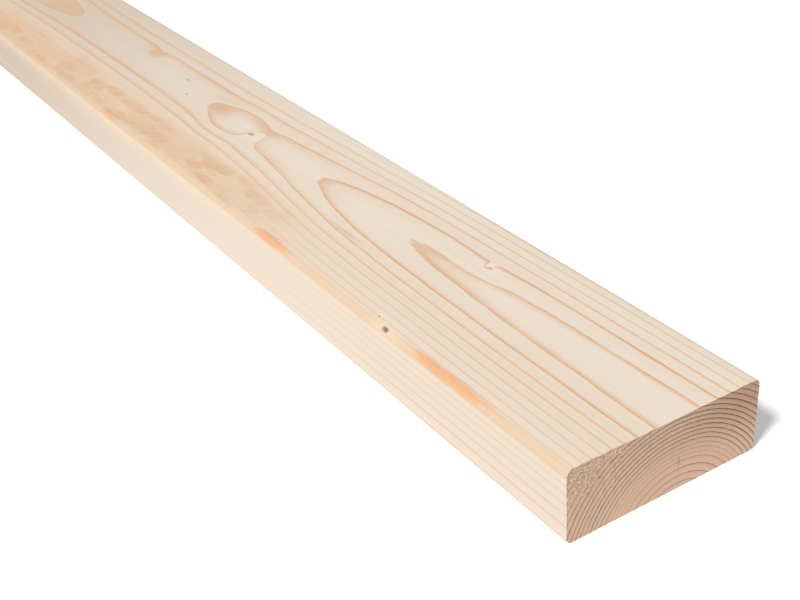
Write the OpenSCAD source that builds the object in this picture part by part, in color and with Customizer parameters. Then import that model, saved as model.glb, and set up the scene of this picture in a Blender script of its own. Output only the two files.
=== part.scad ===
// Planed softwood plank: one length of solid timber with four eased edges and square-sawn ends.
// The length runs along X, the width along Y and the thickness along Z.
// The origin is at the middle of the underside, so the plank lies on the plane Z = 0.

/* [Section] */
// Finished width of the two broad faces, across the grain
width = 95; // [60:1:300]
// Finished thickness between the two broad faces
thickness = 34; // [20:1:100]
// Radius of the four eased edges that run along the length
edge_radius = 3; // [1:0.5:9]

/* [Length] */
// Length between the two sawn ends, as sold
length = 2400; // [600:100:6000]

/* [Hidden] */
// Facets of the preview's circles; the solid itself has true round edges
$fn = 64;
// Colour of freshly planed spruce
timber_colour = [0.93, 0.85, 0.75];
// Flat part of a broad face and of a narrow face, between two eased edges
face_width = width - 2 * edge_radius;
face_height = thickness - 2 * edge_radius;

// Outline of the cut section, standing on its lower edge and centred on its width
module section() {
    translate([-face_width / 2, 0]) square([face_width, thickness]);
    translate([-width / 2, edge_radius]) square([width, face_height]);
    for (side = [-1, 1], centre_z = [edge_radius, thickness - edge_radius])
        translate([side * face_width / 2, centre_z]) circle(r = edge_radius);
}

// The whole plank: the section drawn out along the grain
module plank() {
    color(timber_colour)
        rotate([90, 0, 90])
            linear_extrude(height = length, center = true) section();
}

plank();
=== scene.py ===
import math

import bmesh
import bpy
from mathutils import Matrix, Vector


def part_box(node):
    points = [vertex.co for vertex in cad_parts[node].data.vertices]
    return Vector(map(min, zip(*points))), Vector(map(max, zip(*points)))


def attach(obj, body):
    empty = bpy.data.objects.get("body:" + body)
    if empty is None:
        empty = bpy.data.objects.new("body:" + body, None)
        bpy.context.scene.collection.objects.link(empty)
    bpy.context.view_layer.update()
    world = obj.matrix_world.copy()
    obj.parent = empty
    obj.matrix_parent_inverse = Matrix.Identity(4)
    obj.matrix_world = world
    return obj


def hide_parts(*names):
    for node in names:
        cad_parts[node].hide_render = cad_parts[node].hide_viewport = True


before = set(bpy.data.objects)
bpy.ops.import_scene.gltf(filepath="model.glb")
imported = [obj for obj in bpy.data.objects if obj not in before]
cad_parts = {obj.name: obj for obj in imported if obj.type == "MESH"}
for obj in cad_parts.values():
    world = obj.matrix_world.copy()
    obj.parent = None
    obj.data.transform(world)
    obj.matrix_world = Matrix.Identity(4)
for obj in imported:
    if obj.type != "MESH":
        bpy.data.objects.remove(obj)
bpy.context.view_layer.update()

# Looks of a planed softwood plank that lies flat on a pale floor.
#
# The wood is solid: one growth field says how old the wood is at every point of the plank, from its
# distance to the pith of the log. The same field is built twice, as nodes of the material and as nodes
# of the surface relief, so the rings on a sawn end run on into the lines and loops of the planed faces.
# Inside the growth nodes lengths are millimetres, and "along" is the distance from the near end.

LOW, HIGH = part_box("plank")
LENGTH = HIGH.x - LOW.x
WIDTH = HIGH.y - LOW.y
THICKNESS = HIGH.z - LOW.z
EDGE_RADIUS = 0.003
MM = 0.001
TOP_MM = THICKNESS / MM
FRONT_MM = -WIDTH / 2 / MM
LONG_MM = LENGTH / MM

# ---- How the tree grew -------------------------------------------------------------------------

# Where the pith runs: (along, depth below the underside)
PITH_DEPTH = ((0, 17.4), (100, 17.9), (180, 18.6), (263, 20.9), (298, 21.9), (320, 22.3), (335, 22.7),
              (360, 23.0), (400, 23.3), (500, 23.5), (600, 23.25), (700, 22.6), (900, 22.5), (1300, 19.5),
              (1700, 21.5), (2100, 18.0), (2400, 17.0))
# The same, sideways: (along, distance towards the back edge)
PITH_SIDE = ((0, 7.3), (160, 7.1), (240, 8.0), (300, 9.7), (400, 10.4), (600, 10.4), (900, 9.5),
             (1500, 6.0), (2400, 3.0))
# How many rings lie inside a radius: wide while the tree was young, narrower later
RINGS_WITHIN = ((0, 0), (32, 9), (46.8, 16), (55.3, 20), (62.8, 23), (80, 29.5), (120, 46))
# How dark the latewood of each year came out: (ring, darkness)
LATE_STRENGTH = ((0, 0.35), (8, 0.45), (9.5, 0.28), (11.5, 0.28), (13, 0.7), (15, 0.8), (16, 1.0),
                 (17, 0.85), (20, 0.9), (21, 1.0), (22, 0.7), (23, 0.62), (24, 0.52), (46, 0.45))
# The largest values that these curves reach: the pith's depth and shift, a radius, and the rings in it
DEPTH_REACH = 30
SHIFT_REACH = 15
RADIUS_REACH = 120
RINGS_REACH = 46

# Rings are a little flattened, and lean a little sideways as they grow
RING_SQUASH = 0.95
RING_LEAN = 0.045
# Waves in the rings: length of a wave along, across and up, how far it moves a ring, and its noise
RING_WAVES = (
    ((260, 34, 34), 0.28, dict(seed=3.1)),
    ((45, 9, 9), 0.12, dict(seed=7.7)),
    ((11, 1.8, 1.8), 0.09, dict(detail=3, roughness=0.6, seed=1.3)),
)

# Parts of one year's growth, which runs from 0 in spring to 1: where a line starts and is fully dark,
# on the planed faces near by and far away, and on the sawn ends as a soft and a hard line
LINE_NEAR = (0.71, 0.96)
LINE_FAR = (0.45, 0.94)
LINE_CORE = (0.88, 0.975)
END_SOFT_LINE = (0.35, 0.95)
END_HARD_LINE = (0.79, 0.92)
# Where a line stops at the end of its year, soft or sharp
STOPS = (0.975, 1.0, 1, 0)
STOPS_SHARP = (0.985, 1.0, 1, 0)

# Where rings swell or dip round a small branch: (along, sideways, up), reach of each, and how far
SWELLINGS = (
    ((361, 3.0, TOP_MM), (20, 18, 20), -1.8),
    ((334, 3.5, TOP_MM), (8, 8, 8), 1.7),
    ((412, 9.0, TOP_MM), (18, 9, 10), 0.6),
    ((136, 15.0, TOP_MM), (20, 8, 10), 0.7),
    ((134.5, 17.4, TOP_MM), (3.0, 3.2, 6), 1.0),
    ((499, 16.0, TOP_MM), (9, 6, 10), 1.6),
    ((585, 8.0, TOP_MM), (35, 9, 10), 0.5),
    ((700, 8.0, TOP_MM), (70, 26, 20), -1.2),
    ((905, -14.0, TOP_MM), (10, 9, 10), 2.4),
    ((1240, 22.0, TOP_MM), (12, 9, 12), 2.2),
    ((1620, -4.0, TOP_MM), (40, 22, 20), -2.2),
    ((2040, 12.0, TOP_MM), (10, 9, 10), 2.3),
)
# Soft tan smudges on the planed faces: (along, sideways, up), reach of each, and how strong
SMUDGES = (
    ((499, 18.5, TOP_MM), (7, 5, 5), 1.0),
    ((387, 9.5, TOP_MM), (16, 8, 6), 1.3),
    ((347, 15.0, TOP_MM), (15, 3, 4), 0.7),
    ((330, 13.5, TOP_MM), (8, 3.5, 4), 0.7),
    ((645, 8.0, TOP_MM), (32, 9, 5), 1.1),
    ((572, 17.0, TOP_MM), (6, 3, 4), 0.3),
    ((516, -28.0, TOP_MM), (14, 5, 4), 0.8),
    ((204, -15.0, TOP_MM), (12, 1.2, 4), 0.9),
    ((1330, -10.0, TOP_MM), (20, 4, 5), 0.6),
    ((1900, 24.0, TOP_MM), (16, 5, 5), 0.7),
)
# Pin knots and flecks: (along, sideways, up), half its length along the grain and across it, how dark it
# is, and how pale the wood round it is
PIN_KNOTS = (
    ((133, 18.2, TOP_MM), 1.5, 1.1, 1.0, 0.4),
    ((339, 4.8, TOP_MM), 3.4, 1.7, 0.45, 0.15),
    ((440, 13.4, TOP_MM), 4.0, 1.3, 0.28, 0.0),
    ((419, 2.5, TOP_MM), 2.2, 1.2, 0.34, 0.0),
    ((120, FRONT_MM + 0.9, TOP_MM - 0.9), 2.7, 1.5, 0.95, 0.15),
    ((129, FRONT_MM + 4.2, TOP_MM), 0.9, 0.6, 0.7, 0.2),
    ((353, -33.0, TOP_MM), 1.0, 0.6, 0.6, 0.1),
    ((905, -13.0, TOP_MM), 1.6, 1.3, 0.9, 0.4),
    ((1240, 21.5, TOP_MM), 1.3, 1.1, 1.0, 0.4),
    ((2040, 12.5, TOP_MM), 1.8, 1.4, 0.8, 0.4),
    ((760, FRONT_MM, 14.0), 1.5, 1.2, 0.8, 0.4),
    ((1480, -FRONT_MM, 19.0), 2.2, 1.8, 0.9, 0.4),
    ((420, -FRONT_MM, 12.0), 1.3, 1.1, 0.8, 0.4),
    ((640, -20.0, 0.0), 1.6, 1.4, 0.9, 0.4),
    ((1830, 15.0, 0.0), 2.0, 1.6, 0.9, 0.4),
)
# The pale wood round a knot reaches this many times as far, along and across
HALO_LONG = 3.4
HALO_WIDE = 2.6
# Stretches of torn grain: (from, to, how strong), in millimetres along, and how far each one fades out
TORN_STRETCHES = ((300, 620, 1.0), (1180, 1500, 0.8))
TORN_FADE = 110
# The lane of torn grain: where it starts and is full on its inner side, where it ends on its outer side,
# both sideways, and the height it starts and is full at
TORN_INNER = (-18, -30)
TORN_OUTER = (-43.5, -46.5, 1, 0)
TORN_HEIGHT = (28, 33)
# The size of one lobe of torn grain, along, across and up
TORN_LOBE = (22, 8.5, 40)
# The near end's torn top corner: from where to where it deepens, sideways and up
CORNER_ACROSS = (-12, -34)
CORNER_UP = (12, 27)


def linear(red, green, blue):
    """A colour given as 0 to 255 display values, as the shader's own linear values."""
    def channel(value):
        value /= 255
        return value / 12.92 if value <= 0.04045 else ((value + 0.055) / 1.055) ** 2.4
    return (channel(red), channel(green), channel(blue), 1.0)


class Net:
    """Short ways to add nodes to a tree. The same calls work in a material and in geometry nodes."""

    def __init__(self, tree):
        self.tree = tree

    def node(self, kind, *inputs, **settings):
        """Adds a node with the given settings and plugs its first inputs."""
        new = self.tree.nodes.new(kind)
        for name, value in settings.items():
            setattr(new, name, value)
        for slot, value in enumerate(inputs):
            self.plug(new.inputs[slot], value)
        return new

    def plug(self, socket, value):
        """Links a socket to another, or gives it a plain value."""
        if isinstance(value, bpy.types.NodeSocket):
            self.tree.links.new(value, socket)
        elif value is not None:
            socket.default_value = value

    def math(self, operation, *inputs):
        """One sum on plain values."""
        return self.node("ShaderNodeMath", *inputs, operation=operation).outputs[0]

    def vector(self, operation, *inputs):
        """One sum on places."""
        return self.node("ShaderNodeVectorMath", *inputs, operation=operation).outputs[0]

    def length(self, vector):
        """How far a place is from the origin."""
        return self.node("ShaderNodeVectorMath", vector, operation="LENGTH").outputs["Value"]

    def split(self, vector):
        """The three parts of a place."""
        return self.node("ShaderNodeSeparateXYZ", vector).outputs

    def join(self, x, y, z):
        """A place from its three parts."""
        return self.node("ShaderNodeCombineXYZ", x, y, z).outputs[0]

    def total(self, *values):
        """The sum of all the values."""
        result = values[0]
        for value in values[1:]:
            result = self.math("ADD", result, value)
        return result

    def product(self, *values):
        """All the values multiplied."""
        result = values[0]
        for value in values[1:]:
            result = self.math("MULTIPLY", result, value)
        return result

    def noise(self, place, stretch, detail=2.0, roughness=0.5, seed=0.0):
        """Noise from -1 to 1 whose lumps are about as long as stretch along, across and up."""
        shrink = tuple(1 / size for size in stretch)
        scaled = self.vector("MULTIPLY_ADD", place, shrink, (seed, seed * 1.7, -seed))
        texture = self.node("ShaderNodeTexNoise", scaled)
        texture.inputs["Scale"].default_value = 1.0
        texture.inputs["Detail"].default_value = detail
        texture.inputs["Roughness"].default_value = roughness
        return self.math("MULTIPLY_ADD", texture.outputs[0], 2.0, -1.0)

    def cells(self, place, size):
        """Rounded cells about as big as size; gives the distance from each cell's middle and its colour."""
        texture = self.node("ShaderNodeTexVoronoi", self.vector("DIVIDE", place, size))
        texture.inputs["Scale"].default_value = 1.0
        return texture.outputs

    def step(self, value, start, end, low=0.0, high=1.0):
        """Low before start, high after end, and a smooth change between."""
        new = self.node("ShaderNodeMapRange", value, interpolation_type="SMOOTHSTEP")
        for name, number in (("From Min", start), ("From Max", end), ("To Min", low), ("To Max", high)):
            new.inputs[name].default_value = number
        return new.outputs[0]

    def band(self, value, start, end, fade):
        """One between start and end, fading to nothing over fade on both sides."""
        return self.product(self.step(value, start - fade, start), self.step(value, end, end + fade, 1, 0))

    def curve(self, value, points, reach, top, handle="AUTO"):
        """A curve through the points, whose values go up to reach and whose results go up to top."""
        scaled = self.math("DIVIDE", value, reach)
        new = self.node("ShaderNodeFloatCurve", 1.0, scaled)
        line = new.mapping.curves[0]
        line.points[0].location = (points[0][0] / reach, points[0][1] / top)
        line.points[1].location = (points[-1][0] / reach, points[-1][1] / top)
        for x, y in points[1:-1]:
            line.points.new(x / reach, y / top)
        for point in line.points:
            point.handle_type = handle
        new.mapping.update()
        return self.math("MULTIPLY", new.outputs[0], top)

    def near(self, place, centre, reach):
        """One at the centre, falling away smoothly, to a third at the given reach."""
        apart = self.vector("SUBTRACT", place, centre)
        share = self.vector("DIVIDE", apart, reach)
        squared = self.node("ShaderNodeVectorMath", share, share, operation="DOT_PRODUCT").outputs["Value"]
        return self.math("EXPONENT", self.math("MULTIPLY", squared, -1.0))

    def spots(self, place, table):
        """Soft spots, from rows of (centre, reach, amount)."""
        return [self.product(self.near(place, centre, reach), amount) for centre, reach, amount in table]

    def most(self, values):
        """The largest of the values."""
        result = values[0]
        for value in values[1:]:
            result = self.math("MAXIMUM", result, value)
        return result

    def less(self, value):
        """What is left of one when the value is taken away."""
        return self.math("SUBTRACT", 1.0, value)

    def blend(self, share, first, second, way="MIX"):
        """A colour between two, by share."""
        new = self.node("ShaderNodeMix", data_type="RGBA", blend_type=way)
        for slot, value in ((0, share), (6, first), (7, second)):
            self.plug(new.inputs[slot], value)
        return new.outputs[2]


def new_group(name, kind, inputs, outputs):
    """An empty node group with named sockets, ready to be filled."""
    tree = bpy.data.node_groups.new(name, kind)
    for socket_name, socket_kind in inputs:
        tree.interface.new_socket(socket_name, in_out="INPUT", socket_type=socket_kind)
    for socket_name, socket_kind in outputs:
        tree.interface.new_socket(socket_name, in_out="OUTPUT", socket_type=socket_kind)
    net = Net(tree)
    return net, net.node("NodeGroupInput").outputs, net.node("NodeGroupOutput").inputs


def wood_place(net, position):
    """The position in millimetres, with x turned into the distance from the near end."""
    return net.vector("MULTIPLY_ADD", position, (-1 / MM, 1 / MM, 1 / MM), (HIGH.x / MM, 0, 0))


def growth(kind):
    """The growth field: the rings inside each point, its place in its year, and how dark the wood is."""
    net, given, result = new_group(
        "Growth", kind, [("Position", "NodeSocketVector")],
        [("Rings", "NodeSocketFloat"), ("Late", "NodeSocketFloat"), ("Place", "NodeSocketVector"),
         ("Turn", "NodeSocketFloat"), ("Age", "NodeSocketFloat"), ("Strength", "NodeSocketFloat")])
    place = wood_place(net, given["Position"])
    along, side, up = net.split(place)
    depth = net.curve(along, PITH_DEPTH, LONG_MM, DEPTH_REACH)
    shift = net.curve(along, PITH_SIDE, LONG_MM, SHIFT_REACH)
    height = net.math("ADD", up, depth)
    across = net.total(side, net.math("MULTIPLY", shift, -1.0), net.math("MULTIPLY", height, RING_LEAN))
    round_pith = net.join(0.0, across, net.math("DIVIDE", height, RING_SQUASH))
    waves = [net.product(net.noise(place, stretch, **grain), amount)
             for stretch, amount, grain in RING_WAVES]
    radius = net.total(net.length(round_pith), net.total(*waves), *net.spots(place, SWELLINGS))
    rings = net.curve(radius, RINGS_WITHIN, RADIUS_REACH, RINGS_REACH, handle="VECTOR")
    age = net.math("FRACT", rings)
    strength = net.curve(rings, LATE_STRENGTH, RINGS_REACH, 1, handle="VECTOR")
    late = net.product(net.step(age, *LINE_NEAR), net.step(age, *STOPS), strength)
    turn = net.math("ARCTAN2", across, height)
    for name, value in (("Rings", rings), ("Late", late), ("Place", place), ("Turn", turn), ("Age", age),
                        ("Strength", strength)):
        net.plug(result[name], value)
    return net.tree


def knots(kind):
    """Pin knots: a dark core and the pale ring of cross grain round it."""
    net, given, result = new_group(
        "Pin knots", kind, [("Place", "NodeSocketVector")],
        [("Core", "NodeSocketFloat"), ("Halo", "NodeSocketFloat")])
    place = given["Place"]
    ragged = net.noise(place, (1.4, 0.7, 0.7), detail=3, seed=5.0)
    cores, halos = [], []
    for centre, half_long, half_wide, darkness, paleness in PIN_KNOTS:
        core = net.near(place, centre, (half_long, half_wide, half_wide))
        edge = net.math("MULTIPLY_ADD", ragged, 0.12, core)
        cores.append(net.product(net.step(edge, 0.3, 0.75), darkness))
        halo_wide = half_wide * HALO_WIDE
        halo = net.near(place, centre, (half_long * HALO_LONG, halo_wide, halo_wide))
        halos.append(net.product(halo, paleness))
    net.plug(result["Core"], net.most(cores))
    net.plug(result["Halo"], net.most(halos))
    return net.tree


def torn_grain(kind):
    """The band beside the front edge where the planer lifted the grain: blotches crossed by ripples."""
    net, given, result = new_group(
        "Torn grain", kind, [("Place", "NodeSocketVector")], [("Torn", "NodeSocketFloat")])
    place = given["Place"]
    along, side, up = net.split(place)
    wander = net.noise(place, (40, 14, 20), seed=5.5)
    front = net.math("MULTIPLY_ADD", wander, 2.5, side)
    lane = net.product(net.step(front, *TORN_INNER), net.step(front, *TORN_OUTER),
                       net.step(up, *TORN_HEIGHT))
    stretch = net.total(*[net.product(net.band(along, start, end, TORN_FADE), amount)
                          for start, end, amount in TORN_STRETCHES])
    warped = net.vector("ADD", place, net.join(net.product(wander, 9.0), net.product(wander, 3.0), 0.0))
    scales = net.cells(warped, TORN_LOBE)
    lobe = net.step(net.split(scales["Color"])[0], 0.0, 0.5, 0.4, 1.0)
    blotch = net.product(net.step(scales["Distance"], 0.85, 0.4), lobe)
    cloud = net.step(net.noise(place, (44, 9, 20), detail=4, roughness=0.6, seed=2.2), -0.7, 0.3, 0.1, 0.58)
    slanted = net.join(net.math("MULTIPLY_ADD", side, 0.7, along), side, 0.0)
    ripple = net.step(net.noise(slanted, (3.4, 16, 20), detail=2, seed=8.0), -0.35, 0.3)
    scaly = net.product(blotch, net.math("MULTIPLY_ADD", ripple, 0.35, 0.7))
    net.plug(result["Torn"], net.product(lane, stretch, net.math("MAXIMUM", scaly, cloud)))
    return net.tree


def use(net, tree, **inputs):
    """Places a node group in a net and plugs its named inputs."""
    kind = "ShaderNodeGroup" if net.tree.bl_idname == "ShaderNodeTree" else "GeometryNodeGroup"
    new = net.node(kind, node_tree=tree)
    for name, value in inputs.items():
        net.plug(new.inputs[name.replace("_", " ")], value)
    return new.outputs


# ---- The plank's surface -----------------------------------------------------------------------

# Points round the section: broad face, narrow face and eased edge
FACE_PARTS, SIDE_PARTS, EDGE_PARTS = 96, 28, 8
# Stations along the plank, as (distance from the near end, spacing before it)
STATIONS = ((4, 0.5), (116, 5), (137, 1), (330, 5), (345, 1.5), (700, 5), (2396, 16), (2400, 0.5))
# Rings of faces from the border of a sawn end to its middle line
CAP_PARTS = 24
# How the surface is laid out for baking: strips along the plank above a row with the two ends
BAKE_STRIPS = 3
BAKE_GAP = 0.006
BAKE_END_ROW = 0.115
# Points closer than this are one, in metres, and an edge folded more than this stays crisp, in degrees
MERGE_GAP = 1e-7
CRISP_FOLD = 50


def section_outline():
    """Points once round the section from the middle of the underside, and how far round each one lies."""
    flat_y = WIDTH / 2 - EDGE_RADIUS
    flat_z = THICKNESS / 2 - EDGE_RADIUS
    corners = ((flat_y, -flat_z, -90), (flat_y, flat_z, 0), (-flat_y, flat_z, 90), (-flat_y, -flat_z, 180))
    sides = (FACE_PARTS // 2, SIDE_PARTS, FACE_PARTS, SIDE_PARTS, FACE_PARTS // 2)
    middle = THICKNESS / 2
    points = [Vector((0, -THICKNESS / 2))]
    for (corner_y, corner_z, first), parts in zip(corners, sides):
        arc = [Vector((corner_y, corner_z)) + EDGE_RADIUS * Vector((math.cos(a), math.sin(a)))
               for a in (math.radians(first + 90 * step / EDGE_PARTS) for step in range(EDGE_PARTS + 1))]
        start = points[-1]
        points += [start.lerp(arc[0], step / parts) for step in range(1, parts)]
        points += arc
    start = points[-1]
    points += [start.lerp(points[0], step / sides[-1]) for step in range(1, sides[-1])]
    walked = [0.0]
    for here, there in zip(points, points[1:] + points[:1]):
        walked.append(walked[-1] + (there - here).length)
    return [Vector((y, z + middle)) for y, z in points], [walk / walked[-1] for walk in walked]


def station_places():
    """Distances along the plank, closer together near the ends and the knots."""
    places = [0.0]
    for end, spacing in STATIONS:
        start = places[-1]
        steps = max(1, round((end - start) / spacing))
        places += [start + (end - start) * step / steps for step in range(1, steps + 1)]
    return [place * MM for place in places]


def long_face_spot(strip, distance, share_round):
    """Where a point of the long faces falls on the bake map, in one of the strips along the plank."""
    strip_high = (1 - BAKE_END_ROW) / BAKE_STRIPS
    strip_long = LENGTH / BAKE_STRIPS
    u = (distance - strip * strip_long) / strip_long
    v = BAKE_END_ROW + strip * strip_high + share_round * (strip_high - BAKE_GAP) + BAKE_GAP / 2
    return (BAKE_GAP + u * (1 - 2 * BAKE_GAP), v)


def end_spot(end, point):
    """Where a point of a sawn end, the near one 0 or the far one 1, falls on the bake map."""
    scale = min((0.5 - 2 * BAKE_GAP) / WIDTH, (BAKE_END_ROW - 2 * BAKE_GAP) / THICKNESS)
    return (0.5 * end + BAKE_GAP + (point.y + WIDTH / 2) * scale, BAKE_GAP + point.z * scale)


def add_face(mesh, bake, corners, spots):
    """A smooth face, with the place of each corner on the bake map."""
    new = mesh.faces.new(corners)
    new.smooth = True
    for loop, spot in zip(new.loops, spots):
        loop[bake].uv = spot


def add_long_faces(mesh, bake, outline, shares, stations):
    """The faces along the plank. Gives back the borders of the near end and the far end."""
    count = len(outline)
    loops = [[mesh.verts.new((HIGH.x - distance, y, z)) for y, z in outline] for distance in stations]
    for first, (here, there) in enumerate(zip(loops, loops[1:])):
        middle = (stations[first] + stations[first + 1]) / 2
        strip = min(BAKE_STRIPS - 1, int(middle / (LENGTH / BAKE_STRIPS)))
        for i in range(count):
            j = (i + 1) % count
            spots = [long_face_spot(strip, stations[first + back], shares[k])
                     for back, k in ((0, i), (1, i), (1, i + 1), (0, i + 1))]
            add_face(mesh, bake, (here[i], there[i], there[j], here[j]), spots)
    return loops[0], loops[-1]


def add_sawn_end(mesh, bake, outline, border, end, x):
    """A flat sawn end in rings of faces, which close on the middle line of the section."""
    count = len(outline)
    half_line = (WIDTH - THICKNESS) / 2
    outer = border
    for ring in range(1, CAP_PARTS + 1):
        share = ring / CAP_PARTS
        inner = []
        for y, z in outline:
            middle_y = max(-half_line, min(half_line, y))
            inner.append(mesh.verts.new((x, y + (middle_y - y) * share, z + (THICKNESS / 2 - z) * share)))
        for i in range(count):
            j = (i + 1) % count
            corners = (outer[i], outer[j], inner[j], inner[i])
            add_face(mesh, bake, corners, [end_spot(end, corner.co) for corner in corners])
        outer = inner
    bmesh.ops.remove_doubles(mesh, verts=outer, dist=MERGE_GAP)


def plank_mesh():
    """A closed mesh of the plank, fine enough to carry the relief, with its map for baking."""
    outline, shares = section_outline()
    mesh = bmesh.new()
    bake = mesh.loops.layers.uv.new("OFBake")
    near_border, far_border = add_long_faces(mesh, bake, outline, shares, station_places())
    add_sawn_end(mesh, bake, outline, near_border, 0, HIGH.x)
    add_sawn_end(mesh, bake, outline, far_border, 1, LOW.x)
    bmesh.ops.dissolve_degenerate(mesh, edges=mesh.edges, dist=MERGE_GAP)
    bmesh.ops.recalc_face_normals(mesh, faces=mesh.faces)
    for edge in mesh.edges:
        edge.smooth = edge.calc_face_angle(0) < math.radians(CRISP_FOLD)
    data = bpy.data.meshes.new("plank")
    mesh.to_mesh(data)
    mesh.free()
    return data


# How deep the surface is carved, in metres
CARVING = dict(latewood_ridge=0.00005, torn_depth=0.0003, knot_depth=0.0009, saw_marks=0.00025,
               edge_chips=0.0003, torn_end=0.0006)
# How near a sawn end the relief of the end starts and is full, and that of its border, in metres
END_ZONE = (0.0004, 0.0001)
BORDER_ZONE = (0.0012, 0.0)


def relief_tree(fields, material):
    """Carves the plank: hard latewood left proud, torn grain, knot holes and a rough sawn end."""
    net, given, result = new_group(
        "Plank relief", "GeometryNodeTree",
        [("Geometry", "NodeSocketGeometry"), ("Latewood ridge", "NodeSocketFloat"),
         ("Torn depth", "NodeSocketFloat"), ("Knot depth", "NodeSocketFloat"),
         ("Saw marks", "NodeSocketFloat"), ("Edge chips", "NodeSocketFloat"),
         ("Torn end", "NodeSocketFloat")],
        [("Geometry", "NodeSocketGeometry")])
    position = net.node("GeometryNodeInputPosition").outputs[0]
    normal = net.node("GeometryNodeInputNormal").outputs[0]
    wood = use(net, fields["growth"], Position=position)
    place = wood["Place"]
    knot = use(net, fields["knots"], Place=place)
    torn = use(net, fields["torn"], Place=place)
    facing = net.math("ABSOLUTE", net.split(normal)[0])
    from_end = net.math("SUBTRACT", LENGTH / 2, net.math("ABSOLUTE", net.split(position)[0]))
    on_end = net.step(from_end, *END_ZONE)

    ridge = net.product(net.less(wood["Late"]), given["Latewood ridge"],
                        net.math("MULTIPLY_ADD", on_end, 2.0, 1.0))
    tearing = net.product(torn["Torn"], given["Torn depth"])
    pit = net.product(knot["Core"], given["Knot depth"])
    fuzz = net.noise(place, (0.6, 0.9, 0.9), detail=3, roughness=0.7, seed=4.4)
    sawn = net.product(on_end, net.math("MULTIPLY_ADD", fuzz, 0.5, 0.5), given["Saw marks"])
    border = net.product(net.step(from_end, *BORDER_ZONE), net.step(facing, 0.95, 0.8))
    chip = net.step(net.noise(place, (1.0, 0.9, 0.9), detail=3, roughness=0.65, seed=9.1), 0.05, 0.5)
    chips = net.product(border, chip, given["Edge chips"])
    side, up = net.split(place)[1:3]
    corner = net.product(net.step(side, *CORNER_ACROSS), net.step(up, *CORNER_UP), on_end)
    tuft = net.step(net.noise(place, (2.0, 1.6, 1.6), detail=3, roughness=0.7, seed=2.8), -0.5, 0.5)
    torn_end = net.product(corner, tuft, given["Torn end"])

    carve = net.total(ridge, tearing, pit, sawn, chips, torn_end)
    offset = net.vector("SCALE", normal)
    net.plug(offset.node.inputs["Scale"], net.math("MULTIPLY", carve, -1.0))
    moved = net.node("GeometryNodeSetPosition", given["Geometry"])
    net.plug(moved.inputs["Offset"], offset)
    coat = net.node("GeometryNodeSetMaterial", moved.outputs[0])
    coat.inputs["Material"].default_value = material
    net.plug(result["Geometry"], coat.outputs[0])
    return net.tree


def set_inputs(modifier, **values):
    """Sets a modifier's inputs by the identifiers of the sockets with these names."""
    for item in modifier.node_group.interface.items_tree:
        key = item.name.replace(" ", "_").lower()
        if item.in_out == "INPUT" and key in values:
            modifier[item.identifier] = values[key]


def apply_tree(thing, tree, **values):
    """Runs geometry nodes on a piece and keeps the result as its plain mesh."""
    modifier = thing.modifiers.new(tree.name, "NODES")
    modifier.node_group = tree
    set_inputs(modifier, **values)
    bpy.context.view_layer.update()
    graph = bpy.context.evaluated_depsgraph_get()
    ready = thing.evaluated_get(graph)
    mesh = bpy.data.meshes.new_from_object(ready, preserve_all_data_layers=True, depsgraph=graph)
    thing.modifiers.remove(modifier)
    old = thing.data
    thing.data = mesh
    mesh.name = thing.name
    if old.users == 0:
        bpy.data.meshes.remove(old)


def piece(name, mesh):
    """A new object that shows the mesh."""
    thing = bpy.data.objects.new(name, mesh)
    bpy.context.scene.collection.objects.link(thing)
    return thing


# ---- Fibres on the near sawn end ----------------------------------------------------------------

# Where the near end is torn, as (y from, y to, z from, z to) in millimetres
TORN_PATCHES = ((-46.0, -39.0, 24.0, 32.4), (-46.0, -30.0, 29.0, 32.6), (-46.2, -33.0, 19.0, 30.0),
                (-34.0, -18.0, 30.5, 32.7), (-24.0, 2.0, 32.1, 32.8), (-46.4, -45.4, 3.0, 22.0))
# How far under the end's plane the fibres lie, in metres
FIBRE_BED = 0.0004
# How many fibres lie on a square metre, their size in metres, and the seed of their places
FIBRES = dict(density=0.7e6, fibre_length=0.0015, fibre_radius=0.00024, seed=7)
# How far a fibre tilts at most, in radians, how small the smallest is, how thin its tip is, and its faces
# round and along
FIBRE_TILT = 0.15
FIBRE_SMALLEST = 0.4
FIBRE_TIP = 0.15
FIBRE_ROUND = 4
FIBRE_ALONG = 3


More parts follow.
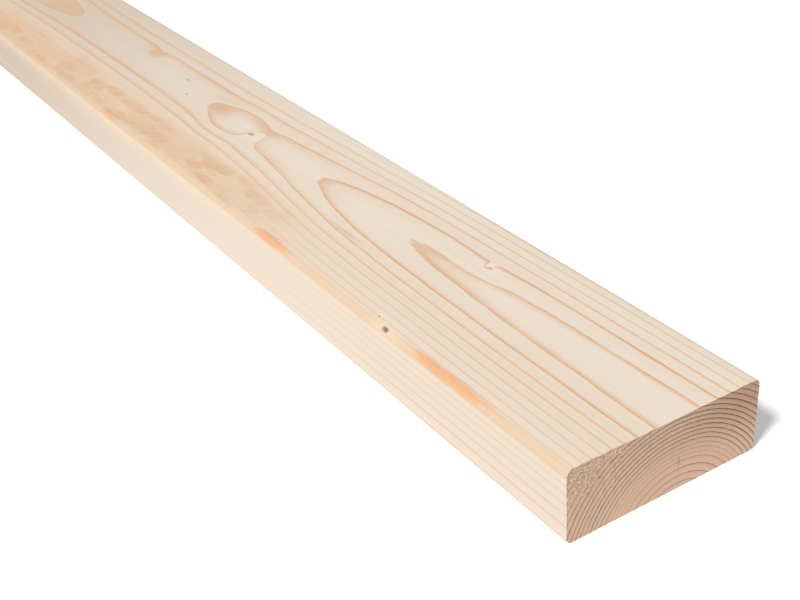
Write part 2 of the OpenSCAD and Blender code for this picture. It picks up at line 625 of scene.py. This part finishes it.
def fibre_tree(material):
    """Short splinters scattered over a patch, each lying nearly flat, turned and sized at random."""
    net, given, result = new_group(
        "Sawn fibres", "GeometryNodeTree",
        [("Geometry", "NodeSocketGeometry"), ("Density", "NodeSocketFloat"),
         ("Fibre length", "NodeSocketFloat"), ("Fibre radius", "NodeSocketFloat"),
         ("Seed", "NodeSocketInt")],
        [("Geometry", "NodeSocketGeometry")])
    points = net.node("GeometryNodeDistributePointsOnFaces", given["Geometry"])
    net.plug(points.inputs["Density"], given["Density"])
    net.plug(points.inputs["Seed"], given["Seed"])
    cone = net.node("GeometryNodeMeshCone")
    cone.inputs["Vertices"].default_value = FIBRE_ROUND
    cone.inputs["Side Segments"].default_value = FIBRE_ALONG
    net.plug(cone.inputs["Radius Top"], net.math("MULTIPLY", given["Fibre radius"], FIBRE_TIP))
    net.plug(cone.inputs["Radius Bottom"], given["Fibre radius"])
    net.plug(cone.inputs["Depth"], given["Fibre length"])

    def chance(low, high, offset, kind="FLOAT"):
        """A random value for each splinter, with its own share of the seed."""
        value = net.node("FunctionNodeRandomValue", data_type=kind)
        names = [s for s in value.inputs if s.enabled and s.name in ("Min", "Max")]
        names[0].default_value, names[1].default_value = low, high
        seed = [s for s in value.inputs if s.enabled and s.name == "Seed"][0]
        net.plug(seed, net.math("ADD", given["Seed"], offset))
        return [s for s in value.outputs if s.enabled][0]

    turn = chance((-math.pi, 0.0, 0.0), (math.pi, FIBRE_TILT, 0.0), 1, "FLOAT_VECTOR")
    size = chance(FIBRE_SMALLEST, 1.0, 2)
    stood = net.node("GeometryNodeInstanceOnPoints", points.outputs[0])
    net.plug(stood.inputs["Instance"], cone.outputs[0])
    net.plug(stood.inputs["Rotation"], turn)
    net.plug(stood.inputs["Scale"], size)
    real = net.node("GeometryNodeRealizeInstances", stood.outputs[0])
    coat = net.node("GeometryNodeSetMaterial", real.outputs[0])
    coat.inputs["Material"].default_value = material
    net.plug(result["Geometry"], coat.outputs[0])
    return net.tree


def torn_patch_mesh():
    """Flat patches just under the near end's plane, over the places the saw tore."""
    mesh = bpy.data.meshes.new("torn_patch")
    x = HIGH.x - FIBRE_BED
    corners, faces = [], []
    for y0, y1, z0, z1 in TORN_PATCHES:
        first = len(corners)
        corners += [(x, y * MM, z * MM) for y, z in ((y0, z0), (y1, z0), (y1, z1), (y0, z1))]
        faces.append(tuple(range(first, first + 4)))
    mesh.from_pydata(corners, [], faces)
    return mesh


# ---- Materials ----------------------------------------------------------------------------------

# The planed faces: early wood, and the painted shade that darkens it far from the near end, the lane beside
# the front edge and its fine streaks, latewood and its darkest part, smudges and torn grain, and resin
EARLY_PALE = linear(220, 208, 192)
EARLY_TAN = linear(216, 200, 181)
# painted shade: the early wood darker far from the near end
FAR_SHADE = linear(191, 175, 156)
WARM_LANE = linear(222, 198, 170)
STREAK = linear(214, 192, 168)
LATE = linear(210, 160, 110)
LATE_CORE = linear(198, 138, 82)
SMUDGE = linear(206, 170, 136)
TORN = linear(208, 172, 136)
RESIN = linear(211, 153, 104)
# The front edge, its own warm tone darkened with painted shade where its rounding catches the light, and
# the front side, toned greyer and darker than the top as painted shade; each near, and darker far away as
# painted shade
WARM_EDGE_SHADE = linear(202, 174, 144)
WARM_FAR_SHADE = linear(186, 160, 132)
SIDE_SHADE = linear(203, 190, 175)
SIDE_FAR_SHADE = linear(170, 151, 133)
# The sawn ends: the ground and its rays, painted light of the floor's bounce low down and painted shade at
# the high back corner, the lines, and the torn corner with its fuzz
END_TAN = linear(192, 158, 132)
END_PALE = linear(205, 173, 147)
END_BOUNCE_LIGHT = linear(212, 179, 153)
END_HIGH_SHADE = linear(180, 141, 115)
END_LATE = linear(60, 19, 4)
END_TORN = linear(206, 174, 145)
END_FUZZ = linear(234, 214, 186)
# Pin knots, and the loose fibres
KNOT_CORE = linear(104, 68, 42)
KNOT_HALO = linear(242, 230, 214)
FIBRE_PALE = linear(232, 216, 190)
FIBRE_TAN = linear(190, 160, 128)
# How far the fibres keep one tone, in metres
FIBRE_PATCH = 0.0011
# Resin that has bled along the front edge: (along, sideways, up), reach of each, and how much
RESIN_SPOTS = (
    ((84, FRONT_MM + 1.0, TOP_MM - 1.0), (17, 2.7, 2.7), 1.0),
    ((62, FRONT_MM + 1.2, TOP_MM - 1.0), (17, 2.8, 2.8), 0.55),
    ((34, FRONT_MM + 1.4, TOP_MM - 1.0), (26, 3.0, 3.0), 0.32),
    ((226, FRONT_MM + 1.0, TOP_MM - 1.0), (12, 2.6, 2.6), 1.0),
    ((208, FRONT_MM + 1.2, TOP_MM - 1.0), (18, 2.7, 2.7), 0.55),
    ((422, FRONT_MM + 1.2, TOP_MM - 1.0), (14, 2.8, 2.8), 0.8),
    ((538, FRONT_MM + 1.2, TOP_MM - 1.0), (26, 2.4, 2.4), 0.6),
    ((1035, FRONT_MM + 1.2, TOP_MM - 1.0), (30, 2.8, 2.8), 0.8),
    ((1760, FRONT_MM + 1.2, TOP_MM - 1.0), (44, 2.8, 2.8), 0.8),
)
# A hair-thin check near the pith, on the near end: (along, sideways, up), and its reach
HEART_CHECK = ((0, 6.9, 12.5), (30, 0.22, 2.6))
# Where each tone of the planed faces begins and is full, sideways and up; the front side's tone and part of
# the front edge's are painted shade
SIDE_SHADE_ACROSS = (FRONT_MM + 1.5, FRONT_MM + 0.2)
SIDE_SHADE_UP = (TOP_MM, TOP_MM - 3.5)
LANE_ACROSS = (-6, -30)
LANE_UP = (20, 33)
EDGE_SHADE_ACROSS = (FRONT_MM + 3.6, FRONT_MM + 1.2)
EDGE_SHADE_UP = (TOP_MM - 5.0, TOP_MM - 2.5)
# The same along the plank, some with their least and their most; the darkening far along is painted shade
FAR_SHADE_ALONG = (250, 800, 0, 0.8)
SIDE_SHADE_ALONG = (200, 800)
LANE_ALONG = (0, 420, 0.25, 0.9)
EDGE_SHADE_ALONG = (200, 650)
# From these rings outwards lines fade along the plank, and so do all lines on the front side, while the
# others grow broader
OUTER_YEARS = (24.1, 24.5)
OUTER_FADES = (60, 360, 0, 0.88)
SIDE_LINES_ACROSS = (FRONT_MM + 1.5, FRONT_MM + 0.3)
SIDE_LINES_FADE = (70, 260, 0, 0.85)
LINES_BROADEN = (120, 420, 0, 1.1)
# Near this line, in millimetres from the middle towards the back edge, rings are cut nearly flat and look
# fainter, up to some way beside it
FLAT_CUT_LINE = 7.0
FLAT_CUT_BESIDE = (2, 16, 0.6, 1.0)
# How fully each tone covers those under it; side and high are painted shade, and edge is the front edge's
# warm tone with painted shade
COVER = dict(side=0.9, lane=0.7, line=0.95, core=0.6, smudge=0.85, torn=0.95, edge=0.85, resin=0.8,
             high=0.8, corner=0.5, check=0.55)
# The tones of a sawn end: where the painted light low down, the painted shade at the high back corner and
# the torn corner begin and are full
BOUNCE_LIGHT_UP = (28, 2, 0, 0.75)
HIGH_SHADE_ACROSS = (0, 38)
HIGH_SHADE_UP = (8, 30)
CORNER_TONE_ACROSS = (-10, -34)
CORNER_TONE_UP = (10, 27)
# How its soft and its hard lines darken towards the back edge
SOFT_DARKENS = (-20, 35, 0.12, 0.4)
HARD_DARKENS = (-38, 25, 1.0, 1.25)


def new_material(name):
    """A new material with one shader, and the net of its nodes to work on."""
    material = bpy.data.materials.new(name)
    material.use_nodes = True
    material.node_tree.nodes.clear()
    net = Net(material.node_tree)
    shader = net.node("ShaderNodeBsdfPrincipled")
    net.plug(net.node("ShaderNodeOutputMaterial").inputs["Surface"], shader.outputs[0])
    return material, net, shader


def early_wood(net, place, streaks):
    """Pale early wood with slow drifts of colour, painted shade that darkens it far from the near end, a
    front side toned grey and darker as painted shade, and a warm lane beside its edge.
    """
    along, side, up = net.split(place)
    drift = net.noise(place, (420, 26, 30), detail=3, seed=6.1)
    face = net.blend(net.step(drift, -0.6, 0.6), EARLY_PALE, EARLY_TAN)
    # painted shade: darker far from the near end
    face = net.blend(net.step(along, *FAR_SHADE_ALONG), face, FAR_SHADE)
    # painted shade: the front side toned greyer and darker than the top
    shaded_front_side = net.product(net.step(side, *SIDE_SHADE_ACROSS), net.step(up, *SIDE_SHADE_UP))
    side_shade = net.blend(net.step(along, *SIDE_SHADE_ALONG), SIDE_SHADE, SIDE_FAR_SHADE)
    face = net.blend(net.product(shaded_front_side, COVER["side"]), face, side_shade)
    warm_lane = net.product(net.step(side, *LANE_ACROSS), net.step(up, *LANE_UP),
                            net.step(along, *LANE_ALONG))
    face = net.blend(net.product(warm_lane, COVER["lane"]), face, WARM_LANE)
    return net.blend(net.step(streaks, -0.1, 0.7, 0, 0.35), face, STREAK)


def planed_lines(net, wood):
    """How strongly each point of a planed face shows its year's latewood line."""
    place, age = wood["Place"], wood["Age"]
    along, side = net.split(place)[0:2]
    faded = net.product(net.step(wood["Rings"], *OUTER_YEARS), net.step(along, *OUTER_FADES))
    on_side = net.product(net.step(side, *SIDE_LINES_ACROSS), net.step(along, *SIDE_LINES_FADE))
    patchy = net.noise(place, (38, 6, 6), detail=3, roughness=0.6, seed=11.0)
    beside = net.math("ABSOLUTE", net.math("SUBTRACT", side, FLAT_CUT_LINE))
    broad = net.product(net.step(age, *LINE_FAR), net.step(age, *STOPS), wood["Strength"],
                        net.step(along, *LINES_BROADEN))
    return net.product(net.math("MAXIMUM", wood["Late"], broad), net.step(patchy, -0.5, 0.5, 0.65, 1.0),
                       net.step(beside, *FLAT_CUT_BESIDE), net.less(net.math("MAXIMUM", faded, on_side)))


def resin_on_edge(net, place):
    """How much resin has bled through along the front edge."""
    ragged = net.noise(place, (13, 1.5, 1.5), detail=4, roughness=0.6, seed=3.3)
    field = net.total(*net.spots(place, RESIN_SPOTS))
    return net.step(net.math("MULTIPLY_ADD", ragged, 0.42, field), 0.25, 0.85)


def planed_colour(net, wood, torn, resin):
    """A planed face: early wood, then lines, smudges, torn grain, the warm front edge with painted shade
    over it, and resin.
    """
    place, age = wood["Place"], wood["Age"]
    along, side, up = net.split(place)
    streaks = net.noise(place, (90, 1.5, 1.5), detail=3, seed=4.2)
    face = early_wood(net, place, streaks)
    line = planed_lines(net, wood)
    face = net.blend(net.product(line, COVER["line"]), face, LATE)
    core = net.product(net.step(age, *LINE_CORE), net.step(age, *STOPS_SHARP), line)
    face = net.blend(net.product(core, COVER["core"]), face, LATE_CORE)
    blots = net.product(net.total(*net.spots(place, SMUDGES)), net.math("MULTIPLY_ADD", streaks, 0.35, 0.9),
                        net.step(age, 0.05, 0.4, 0.15, 1.0))
    face = net.blend(net.product(blots, COVER["smudge"]), face, SMUDGE)
    face = net.blend(net.product(torn, COVER["torn"]), face, TORN)
    # the front edge: its own warm tone, with painted shade against the light its rounding catches, darker
    # far along
    warm_shaded_edge = net.product(net.step(side, *EDGE_SHADE_ACROSS), net.step(up, *EDGE_SHADE_UP))
    edge_tone_and_shade = net.blend(net.step(along, *EDGE_SHADE_ALONG), WARM_EDGE_SHADE, WARM_FAR_SHADE)
    face = net.blend(net.product(warm_shaded_edge, COVER["edge"]), face, edge_tone_and_shade)
    return net.blend(net.product(resin, COVER["resin"]), face, RESIN)


def end_ground(net, wood):
    """The ground of a sawn end: tan with faint rays out from the pith, painted light of the floor's bounce
    low down, and painted shade at the high back corner.
    """
    side, up = net.split(wood["Place"])[1:3]
    rays_at = net.join(net.product(wood["Turn"], 90.0), net.product(wood["Rings"], 0.25), 0.0)
    rays = net.noise(rays_at, (1, 1, 1), detail=3, roughness=0.6, seed=2.0)
    end = net.blend(net.step(rays, -0.5, 0.6), END_TAN, END_PALE)
    # painted light: paler low down, where the floor's bounce lights the end
    end = net.blend(net.step(up, *BOUNCE_LIGHT_UP), end, END_BOUNCE_LIGHT)
    # painted shade: darker at the high back corner
    high_shade = net.product(net.step(side, *HIGH_SHADE_ACROSS), net.step(up, *HIGH_SHADE_UP))
    return net.blend(net.product(high_shade, COVER["high"]), end, END_HIGH_SHADE)


def end_specks(net, wood):
    """Small specks that follow the rings of a sawn end, from -1 to 1."""
    speck_at = net.join(net.product(wood["Turn"], 45.0), net.product(wood["Rings"], 1.9), 0.0)
    return net.noise(speck_at, (1.3, 0.5, 1), detail=3, roughness=0.7, seed=7.0)


def end_colour(net, wood, speck):
    """A sawn end: crisp brown rings on its ground, a torn corner, specks and the check at the heart."""
    place, age = wood["Place"], wood["Age"]
    side, up = net.split(place)[1:3]
    end = end_ground(net, wood)
    stopped = net.step(age, *STOPS_SHARP)
    soft_line = net.product(net.step(age, *END_SOFT_LINE), stopped, net.step(side, *SOFT_DARKENS))
    hard_line = net.product(net.step(age, *END_HARD_LINE), stopped, net.step(side, *HARD_DARKENS),
                            COVER["line"])
    line = net.product(net.math("MAXIMUM", soft_line, hard_line), wood["Strength"])
    corner = net.product(net.step(side, *CORNER_TONE_ACROSS), net.step(up, *CORNER_TONE_UP))
    end = net.blend(net.product(corner, COVER["corner"]), end, END_TORN)
    end = net.blend(net.product(line, net.math("MULTIPLY_ADD", corner, -0.2, 1.0)), end, END_LATE)
    pale_specks = net.product(net.step(speck, 0.05, 0.35), net.math("MULTIPLY_ADD", corner, 0.6, 0.16))
    end = net.blend(pale_specks, end, END_FUZZ)
    dark_specks = net.product(net.step(speck, -0.05, -0.4), net.math("MULTIPLY_ADD", corner, 0.32, 0.12))
    end = net.blend(dark_specks, end, END_LATE)
    return net.blend(net.product(net.near(place, *HEART_CHECK), COVER["check"]), end, END_LATE)


def timber_material(fields):
    """Freshly planed spruce with darker sawn ends."""
    material, net, shader = new_material("planed_spruce")
    position = net.node("ShaderNodeTexCoord").outputs["Object"]
    wood = use(net, fields["growth"], Position=position)
    place = wood["Place"]
    knot = use(net, fields["knots"], Place=place)
    torn = use(net, fields["torn"], Place=place)["Torn"]
    fibres = net.noise(place, (55, 0.55, 0.55), detail=4, roughness=0.65, seed=1.9)
    resin = resin_on_edge(net, place)
    speck = end_specks(net, wood)

    normal = net.node("ShaderNodeNewGeometry").outputs["True Normal"]
    end_share = net.step(net.math("ABSOLUTE", net.split(normal)[0]), 0.55, 0.85)
    colour = net.blend(end_share, planed_colour(net, wood, torn, resin), end_colour(net, wood, speck))
    colour = net.blend(net.product(knot["Halo"], net.less(end_share)), colour, KNOT_HALO)
    colour = net.blend(knot["Core"], colour, KNOT_CORE)
    shade = net.math("MULTIPLY_ADD", fibres, 0.05, 1.0)
    colour = net.blend(1.0, colour, net.join(shade, shade, shade), "MULTIPLY")
    net.plug(shader.inputs["Base Color"], colour)

    rough = net.total(0.58, net.product(fibres, 0.05), net.product(torn, 0.15),
                      net.product(wood["Late"], -0.10), net.product(end_share, 0.2),
                      net.product(resin, -0.2))
    net.plug(shader.inputs["Roughness"], rough)
    shader.inputs["Specular IOR Level"].default_value = 0.35

    height = net.total(net.product(wood["Late"], 0.05), net.product(fibres, 0.018),
                       net.product(torn, -0.12), net.product(speck, end_share, 0.10),
                       net.product(knot["Core"], -0.3))
    bump = net.node("ShaderNodeBump")
    bump.inputs["Strength"].default_value = 0.6
    bump.inputs["Distance"].default_value = MM
    net.plug(bump.inputs["Height"], height)
    net.plug(shader.inputs["Normal"], bump.outputs[0])
    return material


def fibre_material():
    """Loose pale fibres on the sawn end."""
    material, net, shader = new_material("torn_fibre")
    position = net.node("ShaderNodeTexCoord").outputs["Object"]
    tone = net.noise(position, (FIBRE_PATCH, FIBRE_PATCH, FIBRE_PATCH), detail=1)
    colour = net.blend(net.step(tone, -0.6, 0.6), FIBRE_PALE, FIBRE_TAN)
    net.plug(shader.inputs["Base Color"], colour)
    shader.inputs["Roughness"].default_value = 0.8
    return material


# ---- Camera, light and floor --------------------------------------------------------------------

# The camera's lens and film width in millimetres, how far it sees from, how it is turned in degrees, and
# where it stands from the middle of the near end's foot
LENS = 58.26
FILM_WIDTH = 36.0
NEAREST_SEEN = 0.01
CAMERA_HEADING = 148.69
CAMERA_DIP = 30.67
CAMERA_ROLL = -3.62
CAMERA_FROM_END = Vector((0.2757, -0.2789, 0.3188))
# The key light: its strength, how wide it looks in degrees, and the way it travels
KEY_STRENGTH = 3.05
KEY_SPREAD = 11
KEY_TRAVEL = Vector((-0.9, 2.7, -3.4))
# The bright surround and the floor: its half size in metres, how pale it is and how much it glows
SURROUND_STRENGTH = 0.46
FLOOR_HALF = 45.0
FLOOR_TONE = 0.9
FLOOR_GLOW = 0.08
WHITE = (1, 1, 1, 1)


def floor_material():
    """A matt white floor that glows faintly, so that it looks white all over."""
    material, _, shader = new_material("white_floor")
    shader.inputs["Base Color"].default_value = (FLOOR_TONE, FLOOR_TONE, FLOOR_TONE, 1)
    shader.inputs["Roughness"].default_value = 0.9
    shader.inputs["Specular IOR Level"].default_value = 0.1
    shader.inputs["Emission Color"].default_value = WHITE
    shader.inputs["Emission Strength"].default_value = FLOOR_GLOW
    return material


def add_camera():
    """Looks down along the plank from beside its near end."""
    data = bpy.data.cameras.new("camera")
    data.lens = LENS
    data.sensor_width = FILM_WIDTH
    data.clip_start = NEAREST_SEEN
    heading, dip, roll = (math.radians(angle) for angle in (CAMERA_HEADING, CAMERA_DIP, CAMERA_ROLL))
    ahead = Vector((math.cos(dip) * math.cos(heading), math.cos(dip) * math.sin(heading), -math.sin(dip)))
    right = ahead.cross(Vector((0, 0, 1))).normalized()
    upward = right.cross(ahead)
    turned_right = right * math.cos(roll) + upward * math.sin(roll)
    turned_up = upward * math.cos(roll) - right * math.sin(roll)
    camera = bpy.data.objects.new("camera", data)
    turn = Matrix((turned_right, turned_up, -ahead)).transposed()
    place = Vector((HIGH.x, 0, 0)) + CAMERA_FROM_END
    camera.matrix_world = Matrix.Translation(place) @ turn.to_4x4()
    bpy.context.scene.collection.objects.link(camera)
    bpy.context.scene.camera = camera


def add_key_light():
    """One broad, far-off light from over the front side, so the whole length is lit alike."""
    data = bpy.data.lights.new("key", "SUN")
    data.energy = KEY_STRENGTH
    data.angle = math.radians(KEY_SPREAD)
    lamp = bpy.data.objects.new("key", data)
    lamp.rotation_euler = KEY_TRAVEL.to_track_quat("-Z", "Y").to_euler()
    lamp.location = Vector((HIGH.x, 0, 0)) - KEY_TRAVEL
    bpy.context.scene.collection.objects.link(lamp)


def add_surround():
    """A bright even surround on all sides."""
    world = bpy.data.worlds.new("surround")
    world.use_nodes = True
    background = world.node_tree.nodes["Background"]
    background.inputs["Color"].default_value = WHITE
    background.inputs["Strength"].default_value = SURROUND_STRENGTH
    bpy.context.scene.world = world


def add_floor():
    """A wide white floor under the plank."""
    half = FLOOR_HALF
    mesh = bpy.data.meshes.new("floor")
    corners = [(-half, -half, 0), (half, -half, 0), (half, half, 0), (-half, half, 0)]
    mesh.from_pydata(corners, [], [(0, 1, 2, 3)])
    mesh.materials.append(floor_material())
    floor = piece("floor", mesh)


# ---- Putting it together ------------------------------------------------------------------------

def build_fields(kind):
    """The three groups that both the material and the relief read, for one kind of tree."""
    return {"growth": growth(kind), "knots": knots(kind), "torn": torn_grain(kind)}


add_camera()
add_floor()
add_surround()
add_key_light()
bpy.context.scene.view_settings.view_transform = "Standard"

timber = timber_material(build_fields("ShaderNodeTree"))
plank = piece("planed_plank", plank_mesh())
apply_tree(plank, relief_tree(build_fields("GeometryNodeTree"), timber), **CARVING)
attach(plank, "root")
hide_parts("plank")

fibres = piece("sawn_fibres", torn_patch_mesh())
apply_tree(fibres, fibre_tree(fibre_material()), **FIBRES)
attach(fibres, "root")
